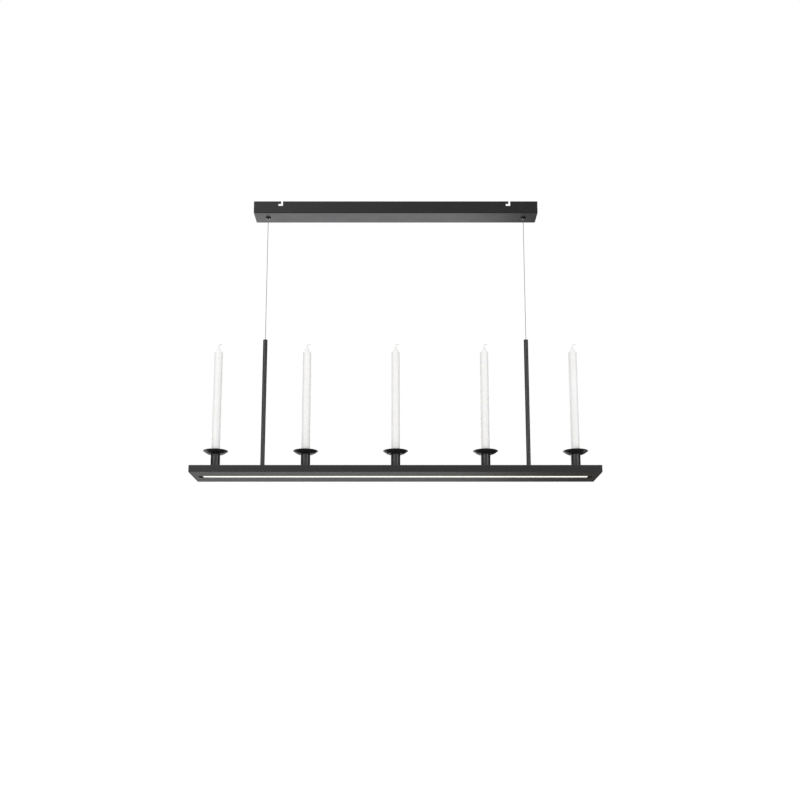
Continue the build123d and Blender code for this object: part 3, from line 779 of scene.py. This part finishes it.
def stage_material(name: str) -> tuple[Material, Tree]:
    """Starts an empty material for something that isn't part of the object.

    Args:
        name: the material's name.

    Returns:
        The material, and a Tree to fill it with.
    """
    material = bpy.data.materials.new(name)
    material.use_nodes = True
    material.node_tree.nodes.clear()
    return material, Tree(material.node_tree)


def facing(place: Place, target: Place) -> Quaternion:
    """How a lamp or card at a place is turned to look at a target."""
    return (Vector(target) - Vector(place)).to_track_quat("-Z", "Y")


@dataclass
class Softbox:
    """One soft area lamp that looks at a point."""

    name: str
    place: Place
    target: Place
    width: float
    height: float
    radiance: float
    reflected: bool = True

    def make(self) -> None:
        """Adds the lamp. Its power follows from the brightness of its face."""
        lamp = bpy.data.lights.new(self.name, "AREA")
        lamp.shape = "RECTANGLE"
        lamp.size, lamp.size_y = self.width, self.height
        lamp.energy = self.radiance * math.pi * self.width * self.height
        holder = bpy.data.objects.new(self.name, lamp)
        holder.location = self.place
        holder.visible_glossy = self.reflected
        holder.rotation_euler = facing(self.place, self.target).to_euler()
        bpy.context.scene.collection.objects.link(holder)


@dataclass
class Card:
    """A card that only reflections see, as a studio uses to draw the edges and faces of black metal."""

    name: str
    place: Place
    target: Place
    width: float
    height: float
    tone: Colour = (0.02, 0.02, 0.02)

    def make(self) -> None:
        """Adds the card as part of the stage."""
        shape = bmesh.new()
        bmesh.ops.create_grid(shape, x_segments=1, y_segments=1, size=0.5)
        aim = facing(self.place, self.target).to_matrix().to_4x4()
        size = Matrix.Diagonal((self.width, self.height, 1.0, 1.0))
        bmesh.ops.transform(shape, matrix=Matrix.Translation(self.place) @ aim @ size, verts=shape.verts)
        material, tree = stage_material(self.name)
        glow = tree.add("ShaderNodeEmission", {"Color": (*self.tone, 1.0), "Strength": 1.0})
        tree.add("ShaderNodeOutputMaterial", {"Surface": glow.outputs[0]})
        card = finished(shape, self.name, material, smooth=False)
        card.visible_camera = card.visible_diffuse = card.visible_transmission = False
        card.visible_shadow = card.visible_volume_scatter = False


@dataclass
class Studio:
    """The camera, the lamps, the pale floor and the white surroundings."""

    floor_height: float = -2.4
    floor_size: float = 60.0
    floor_colour: Colour = (0.80, 0.80, 0.80)
    floor_lift: float = 0.5
    surroundings: float = 0.78
    lens: float = 50.37
    sensor: float = 36.0
    camera_place: Place = (0.0122, -2.988, -1.3516)
    camera_pitch: float = 11.07
    camera_shift: float = 0.088
    camera_reach: tuple[float, float] = (0.05, 100.0)
    lamps: list[Softbox] = field(
        default_factory=lambda: [
            Softbox("softbox_left", (-1.8, -2.6, 0.6), (0, 0, -0.4), 0.65, 2.2, 4.5),
            Softbox("overhead", (0.0, 0.3, 2.2), (0, 0, -0.5), 2.6, 1.6, 1.0),
            Softbox("front_fill", (1.4, -3.2, -1.9), (0, 0, -0.6), 3.0, 1.0, 3.2, reflected=False),
        ]
    )
    cards: list[Card] = field(
        default_factory=lambda: [
            Card("back_card", (0.0, 6.5, 0.85), (0, 0, 0.85), 18.0, 6.4),
            Card("left_card", (-6.0, 2.25, 0.85), (0, 2.25, 0.85), 9.5, 6.4),
            Card("right_card", (3.0, 3.0, 0.85), (0, 3.0, 0.85), 8.0, 6.4),
            Card("dark_floor_card", (0.0, -2.0, -2.38), (0, -2.0, 0), 8.0, 6.0),
            Card("floor_flag_right", (2.7, 4.6, -2.38), (2.7, 4.6, 0), 4.0, 4.6, (0.10, 0.07, 0.045)),
            Card("upper_flag_right", (1.7, -3.6, 1.9), (0, 0, 0), 3.6, 2.6),
            Card("strip_right", (2.45, -2.0, -0.25), (0, 0, -0.5), 0.8, 2.2, (4.4, 4.4, 4.4)),
            Card("canopy_bounce", (-0.6, 1.05, -0.48), (-0.5, 0.0, 0.0), 2.1, 0.68, (2.0, 2.0, 2.05)),
        ]
    )

    def camera(self) -> None:
        """Places the camera as the photograph's view needs."""
        data = bpy.data.cameras.new("camera")
        data.sensor_width = self.sensor
        data.lens = self.lens
        data.shift_y = self.camera_shift
        data.clip_start, data.clip_end = self.camera_reach
        holder = bpy.data.objects.new("camera", data)
        holder.location = self.camera_place
        holder.rotation_euler = (math.radians(90.0 + self.camera_pitch), 0.0, 0.0)
        bpy.context.scene.collection.objects.link(holder)
        bpy.context.scene.camera = holder

    @staticmethod
    def seen(tree: Tree) -> Socket:
        """Tells the rays that see the white surroundings from those that only carry light.

        Args:
            tree: the material's or the world's tree.

        Returns:
            1 for rays from the camera, from reflections and through clear things, and 0 for the rest.
        """
        path = tree.add("ShaderNodeLightPath").outputs
        direct = tree.math("MAXIMUM", path["Is Camera Ray"], path["Is Glossy Ray"])
        return tree.math("MAXIMUM", direct, path["Is Transmission Ray"])

    def world(self) -> None:
        """White surroundings that light the object at a plain level."""
        world = bpy.data.worlds.new("surroundings")
        world.use_nodes = True
        bpy.context.scene.world = world
        tree = Tree(world.node_tree)
        world.node_tree.nodes.clear()
        light = tree.add("ShaderNodeBackground", {"Color": WHITE, "Strength": self.surroundings})
        white = tree.add("ShaderNodeBackground", {"Color": WHITE, "Strength": 1.0})
        mix = tree.add("ShaderNodeMixShader", {0: self.seen(tree), 1: light.outputs[0], 2: white.outputs[0]})
        tree.add("ShaderNodeOutputWorld", {"Surface": mix.outputs[0]})

    def floor(self) -> None:
        """A pale floor that keeps the shadow and fades into the surroundings."""
        shape = bmesh.new()
        bmesh.ops.create_grid(shape, x_segments=1, y_segments=1, size=self.floor_size / 2)
        bmesh.ops.translate(shape, vec=(0, 0, self.floor_height), verts=shape.verts)
        material, tree = stage_material("pale_floor")
        matt = tree.add("ShaderNodeBsdfDiffuse", {"Color": (*self.floor_colour, 1.0)})
        glow = tree.add("ShaderNodeEmission", {"Color": WHITE, "Strength": self.floor_lift})
        lift = tree.add("ShaderNodeMixShader", {0: self.seen(tree), 2: glow.outputs[0]})
        both = tree.add("ShaderNodeAddShader", {0: matt.outputs[0], 1: lift.outputs[0]})
        tree.add("ShaderNodeOutputMaterial", {"Surface": both.outputs[0]})
        floor = finished(shape, "floor", material, smooth=False)

    def make(self) -> None:
        """Sets the whole stage."""
        bpy.context.scene.view_settings.view_transform = "Standard"
        self.world()
        self.floor()
        for piece in [*self.lamps, *self.cards]:
            piece.make()


# ---- Sub-assemblies --------------------------------------------------------------------------------


@dataclass
class Assembly:
    """A group of pieces that are dressed together."""

    frame: dict
    palette: Palette

    def slot_of(self, node: str) -> str:
        """The record's material slot of a CAD node."""
        return next(p["material_slot"] for p in self.frame["record"]["subparts"] if p["node"] == node)

    def finish_of(self, node: str) -> Material:
        """The material that a CAD node's slot names."""
        return self.palette.get(self.slot_of(node))

    def dress(self, *nodes: str, finish: str = "") -> None:
        """Gives CAD nodes their finish.

        Args:
            nodes: the nodes' names.
            finish: a finish of the palette, where it isn't the one that their slot names.
        """
        for node in nodes:
            piece = self.frame["nodes"][node]
            material = self.palette.get(finish or self.slot_of(node))
            for slot in piece.material_slots:
                slot.material = material
            LOG.info("dressed %s in %s", node, material.name)

    def stand_in(self, shape: Shape, name: str, body: str, node: str) -> Piece:
        """Makes a piece that stands for a CAD node.

        Args:
            shape: the piece's mesh; it is freed.
            name: the piece's name.
            body: the body that it rides on.
            node: the CAD node that it replaces.

        Returns:
            The piece.
        """
        piece = finished(shape, name, self.finish_of(node))
        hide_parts(node)
        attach(piece, body)
        LOG.info("made %s for %s on %s", name, node, body)
        return piece


@dataclass
class Suspension(Assembly):
    """The two hanging wires and the rods that they hold."""

    wire_radius: float = 0.75 * MM
    clear_of_end: float = 6 * 1.5 * MM
    around: int = 3

    def wire(self, side: Side) -> None:
        """One wire, pulled tight between its gripper's nozzle and its rod.

        Args:
            side: which of the two it is.
        """
        node = f"wire_{side.word}"
        (x, y, bottom), _ = standing(node)
        top = standing(f"release_nozzle_{side.word}")[0].z
        heights = (top, top - self.clear_of_end, bottom + self.clear_of_end, bottom)
        route = Route(node, [Vector((x, y, z)) for z in heights])
        line = route.line()
        mesh = route.mesh(self.wire_radius, self.around)
        mesh.materials.clear()
        mesh.materials.append(self.finish_of(node))
        for polygon in mesh.polygons:
            polygon.use_smooth = True
        piece = bpy.data.objects.new(f"suspension_{node}", mesh)
        bpy.context.scene.collection.objects.link(piece)
        self.unroll(mesh, Vector((x, y, 0.0)))
        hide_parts(node)
        self.slot_of(node)
        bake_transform(piece)

    @staticmethod
    def unroll(mesh: bpy.types.Mesh, axis: Vector) -> None:
        """Writes the wire's UV map: turns round it, and metres along it.

        Args:
            mesh: the upright wire's mesh.
            axis: a point on its middle line.
        """
        layer = mesh.uv_layers.get("UVMap") or mesh.uv_layers.new(name="UVMap")
        for polygon in mesh.polygons:
            middle = math.atan2(polygon.center.y - axis.y, polygon.center.x - axis.x) / math.tau
            for index in polygon.loop_indices:
                point = mesh.vertices[mesh.loops[index].vertex_index].co
                turn = math.atan2(point.y - axis.y, point.x - axis.x) / math.tau
                turn += round(middle - turn)
                layer.data[index].uv = (turn, point.z)

    def build(self) -> None:
        """Makes the wires and dresses what they hold."""
        for side in Side:
            self.wire(side)
            self.dress(f"rod_{side.word}", finish="black_holder_paint")
        self.dress("rod_plugs", "wire_end_stops", "rod_nuts")


@dataclass
class Canopy(Assembly):
    """The ceiling tray, its fittings and the two wire grippers."""

    release_travel: float = 2.0 * MM

    def spring(self, side: Side) -> None:
        """The coil spring over a release nozzle, a welded copy of the CAD coil with a mesh of its own. On the real
        gripper it shortens as the nozzle is pushed in; nothing here makes it shorten.

        Args:
            side: which gripper it is in.
        """
        node = f"gripper_spring_{side.word}"
        coil = bmesh.new()
        coil.from_mesh(self.frame["nodes"][node].data)
        bmesh.ops.remove_doubles(coil, verts=coil.verts, dist=WELD)
        piece = self.stand_in(coil, f"sprung_{node}", "canopy", node)
        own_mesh(piece)

    def build(self) -> None:
        """Dresses the tray, the fittings on its floor and the grippers."""
        self.dress("canopy_tray", "driver_case", "driver_end_caps", "driver_board", "fitting_screws")
        self.dress("terminal_block", "terminal_clamps", "terminal_screws", "earth_stud", "earth_nuts")
        self.dress("gripper_nuts", "gripper_caps", "wire_clips")
        for side in Side:
            names = ("gripper_barrel", "release_nozzle", "gripper_balls", "output_wire")
            self.dress(*(f"{name}_{side.word}" for name in names))
            self.spring(side)


@dataclass
class Beam(Assembly):
    """The long flat beam and the light line in its underside."""

    def build(self) -> None:
        """Dresses the folded shell, its bottom plate and the light line."""
        self.dress("beam_shell", "beam_bottom_plate", "cover_clips", "beam_leads", "holder_screws")
        self.dress("led_channel", "channel_end_caps", "led_board", "led_chips", "diffuser")


@dataclass
class CandleHolder(Assembly):
    """A turned socket with a spun saucer."""

    number: int = 1
    socket_radius: float = 13.0 * MM
    socket_height: float = 48.0 * MM
    cup_radius: float = 12.05 * MM
    cup_floor: float = 22.0 * MM
    edge: float = 0.3 * MM
    bead: float = 1.2 * MM
    bead_height: float = 1.6 * MM
    bead_outline: tuple[tuple[float, float], ...] = ((0.0, 0.0), (0.55, 0.15), (0.9, 0.5), (1.0, 1.0))
    pan_bottom: float = 43.6 * MM
    pan_rise: float = 9.7 * MM
    pan_radius: float = 34.0 * MM
    pan_flat: float = 18.0 * MM
    pan_sheet: float = 1.2 * MM
    pan_thinning: float = 0.35
    pan_play: float = 0.05 * MM
    pan_around: int = 128
    bowl_curve: float = 1.75
    bowl_steps: int = 12
    rim_radius: float = 0.8 * MM
    collar_height: float = 3.0 * MM

    @property
    def foot(self) -> Vector:
        """The middle of the socket's foot, on the beam's top face."""
        return standing(f"candle_socket_{self.number}")[0]

    def socket(self) -> None:
        """The turned socket: a plain tube with a shoulder bead under the saucer and a deep cup."""
        r, h, e, cup = self.socket_radius, self.socket_height, self.edge, self.cup_radius
        bead_low = self.pan_bottom - self.bead_height
        outline = [(0.0, 0.0), (r - e, 0.0), *arc((r - e, e), e, -90, 0, 3)]
        outline += [(r + out * self.bead, bead_low + up * self.bead_height) for out, up in self.bead_outline]
        outline += [(r, self.pan_bottom), (r, h - e), *arc((r - e, h - e), e, 0, 90, 3)]
        outline += [*arc((cup + e, h - e), e, 90, 180, 3), (cup, self.cup_floor), (0.0, self.cup_floor)]
        shape = lathe(outline, self.foot)
        name = f"turned_socket_{self.number}"
        sharpen(self.stand_in(shape, name, "beam", f"candle_socket_{self.number}"))

    def pan(self) -> None:
        """The spun saucer: a flat middle with an upturned collar, a curved bowl and a rolled rim."""
        hole = self.socket_radius + self.pan_play
        flat, sheet, steps = self.pan_flat, self.pan_sheet, self.bowl_steps
        rim, rim_z = self.pan_radius - self.rim_radius, self.pan_rise - self.rim_radius
        span = rim - flat
        bowl = [(flat + span * i / steps, rim_z * (i / steps) ** self.bowl_curve) for i in range(1, steps)]
        thinner = self.pan_thinning * sheet / span
        over = [(r - thinner * (r - flat), z + sheet) for r, z in reversed(bowl)]
        roll = arc((rim, rim_z), self.rim_radius, -100, 170, 12)
        collar = [(flat, sheet), (hole + 1.4 * sheet, sheet), (hole + sheet, 1.5 * sheet)]
        collar += [(hole + sheet, self.collar_height - 0.4 * MM), (hole + 0.5 * sheet, self.collar_height)]
        collar += [(hole, self.collar_height - 0.1 * MM)]
        outline = [(hole, 0.0), (flat, 0.0), *bowl, *roll, *over, *collar]
        shape = lathe(outline, self.foot + Vector((0, 0, self.pan_bottom)), self.pan_around)
        sharpen(self.stand_in(shape, f"spun_saucer_{self.number}", "beam", f"drip_pan_{self.number}"))

    def build(self) -> None:
        """Makes the socket and the saucer."""
        self.socket()
        self.pan()


@dataclass
class TaperCandle(Assembly):
    """One candle and its wick, which come out of the holder together."""

    number: int = 1
    base_radius: float = 11.8 * MM
    base_round: float = 1.0 * MM
    top_radius: float = 11.2 * MM
    body_steps: int = 40
    around: int = 64
    shoulder_below_top: float = 16.2 * MM
    shoulder_corner: float = 0.9 * MM
    shoulder_rise: float = 3.2 * MM
    cone_radius: float = 6.6 * MM
    tip_radius: float = 2.2 * MM
    tip_round: float = 0.4 * MM
    in_holder: float = 27.0 * MM
    unevenness: float = 0.12 * MM
    unevenness_scale: float = 38.0
    seed_step: float = 3.7
    wick_foot: float = -3.0 * MM
    wick_length: float = 17.8 * MM
    wick_straight: float = 2.5 * MM
    wick_bend: float = 12.3 * MM
    wick_lean: float = math.radians(135.0)
    wick_steps: int = 56
    strands: int = 3
    strand_radius: float = 0.52 * MM
    strand_off_middle: float = 0.5 * MM
    strand_tip: float = 0.75
    twist_length: float = 4.2 * MM

    @property
    def node(self) -> str:
        """The candle's CAD node, which is also the name of the body that it and its wick ride on."""
        return f"candle_{self.number}"

    def outline(self, height: float) -> Outline:
        """The candle's outline: a tapered body, a crisp shoulder and a cone.

        Args:
            height: from the candle's foot to the top of its cone.

        Returns:
            Points from the middle of the foot to the middle of the tip.
        """
        base, top, cone, tip = self.base_radius, self.top_radius, self.cone_radius, self.tip_radius
        foot, corner, steps = self.base_round, self.shoulder_corner, self.body_steps
        shoulder = height - self.shoulder_below_top
        neck = shoulder + self.shoulder_rise
        slope = height - self.tip_round - neck
        body = [(0.0, 0.0), (base - foot, 0.0), *arc((base - foot, foot), foot, -90, 0, 4)]
        for i in range(1, steps):
            body.append((base + (top - base) * i / steps, foot + (shoulder - foot) * i / steps))
        body += arc((top - corner, shoulder), corner, 0, 62, 5)
        r, z = body[-1]
        body += [(r + (cone - r) * t, z + (neck - z) * t) for t in (0.15, 0.5, 0.88, 1.0)]
        body += [(cone + (tip - cone) * t, neck + slope * t) for t in (0.06, 0.15, 0.3, 0.5, 0.7, 0.88, 1.0)]
        return [*body, (tip - 0.5 * MM, height), (0.0, height - 0.3 * MM)]

    def candle(self) -> None:
        """The taper candle, with a slightly uneven skin above its holder."""
        foot, height = standing(self.node)
        shape = lathe(self.outline(height), foot, self.around)
        seed = Vector((self.number * self.seed_step, 0.0, 0.0))
        for vert in shape.verts:
            out = Vector((vert.co.x - foot.x, vert.co.y - foot.y, 0.0))
            if out.length > 10 * WELD and vert.co.z > foot.z + self.in_holder:
                swell = noise.noise(vert.co * self.unevenness_scale + seed)
                vert.co += out.normalized() * swell * self.unevenness
        self.stand_in(shape, f"taper_candle_{self.number}", self.node, self.node)

    def strand(self, shape: Shape, top: Vector, number: int) -> None:
        """Adds one strand of the wick as a closed tube.

        Args:
            shape: the mesh that it is added to.
            top: the middle of the candle's tip.
            number: which strand it is, from 0.
        """
        sideways = Vector((0, 1, 0))
        ring: Ring = []
        for i in range(self.wick_steps + 1):
            along = self.wick_foot + self.wick_length * i / self.wick_steps
            middle, across = self.bent(along)
            turn = math.tau * (along / self.twist_length + number / self.strands)
            offset = (across * math.cos(turn) + sideways * math.sin(turn)) * self.strand_off_middle
            size = self.strand_radius * (self.strand_tip if i == self.wick_steps else 1.0)
            circle = bmesh.ops.create_circle(shape, segments=8, radius=size, cap_ends=False)["verts"]
            aim = Matrix((across, sideways, sideways.cross(across))).transposed().to_4x4()
            place = Matrix.Translation(top + middle + offset) @ aim
            bmesh.ops.transform(shape, matrix=place, verts=circle)
            if ring:
                bridge(shape, ring, circle)
            else:
                shape.faces.new(circle)
            ring = circle
        shape.faces.new(ring)

    def bent(self, along: float) -> tuple[Vector, Vector]:
        """Follows the wick's middle line, which goes straight up and then bends over.

        Args:
            along: how far above the candle's tip, measured along the wick.

        Returns:
            The point, from the tip, and the direction across the wick in the plane that it bends in.
        """
        radius = self.wick_bend / self.wick_lean
        turn = min(max(along - self.wick_straight, 0.0) / radius, self.wick_lean)
        rest = max(along - self.wick_straight - self.wick_bend, 0.0)
        x = radius * (1 - math.cos(turn)) + rest * math.sin(turn)
        z = min(along, self.wick_straight) + radius * math.sin(turn) + rest * math.cos(turn)
        return Vector((x, 0, z)), Vector((math.cos(turn), 0, -math.sin(turn)))

    def wick(self) -> None:
        """The wick: cotton strands twisted together and bent over at the tip."""
        foot, height = standing(self.node)
        shape = bmesh.new()
        for number in range(self.strands):
            self.strand(shape, foot + Vector((0, 0, height)), number)
        bmesh.ops.recalc_face_normals(shape, faces=shape.faces)
        self.stand_in(shape, f"twisted_wick_{self.number}", self.node, f"wick_{self.number}")

    def build(self) -> None:
        """Makes the candle and its wick."""
        self.candle()
        self.wick()


def main() -> None:
    """Builds the stage and every sub-assembly in order."""
    logging.basicConfig(level=logging.INFO, format="%(name)s: %(message)s")
    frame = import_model()
    studio = Studio()
    studio.camera()
    palette = Palette()
    Suspension(frame, palette).build()
    studio.make()
    Canopy(frame, palette).build()
    Beam(frame, palette).build()
    for number in range(1, HOLDERS + 1):
        CandleHolder(frame, palette, number).build()
        TaperCandle(frame, palette, number).build()


if __name__ == "__main__":
    main()
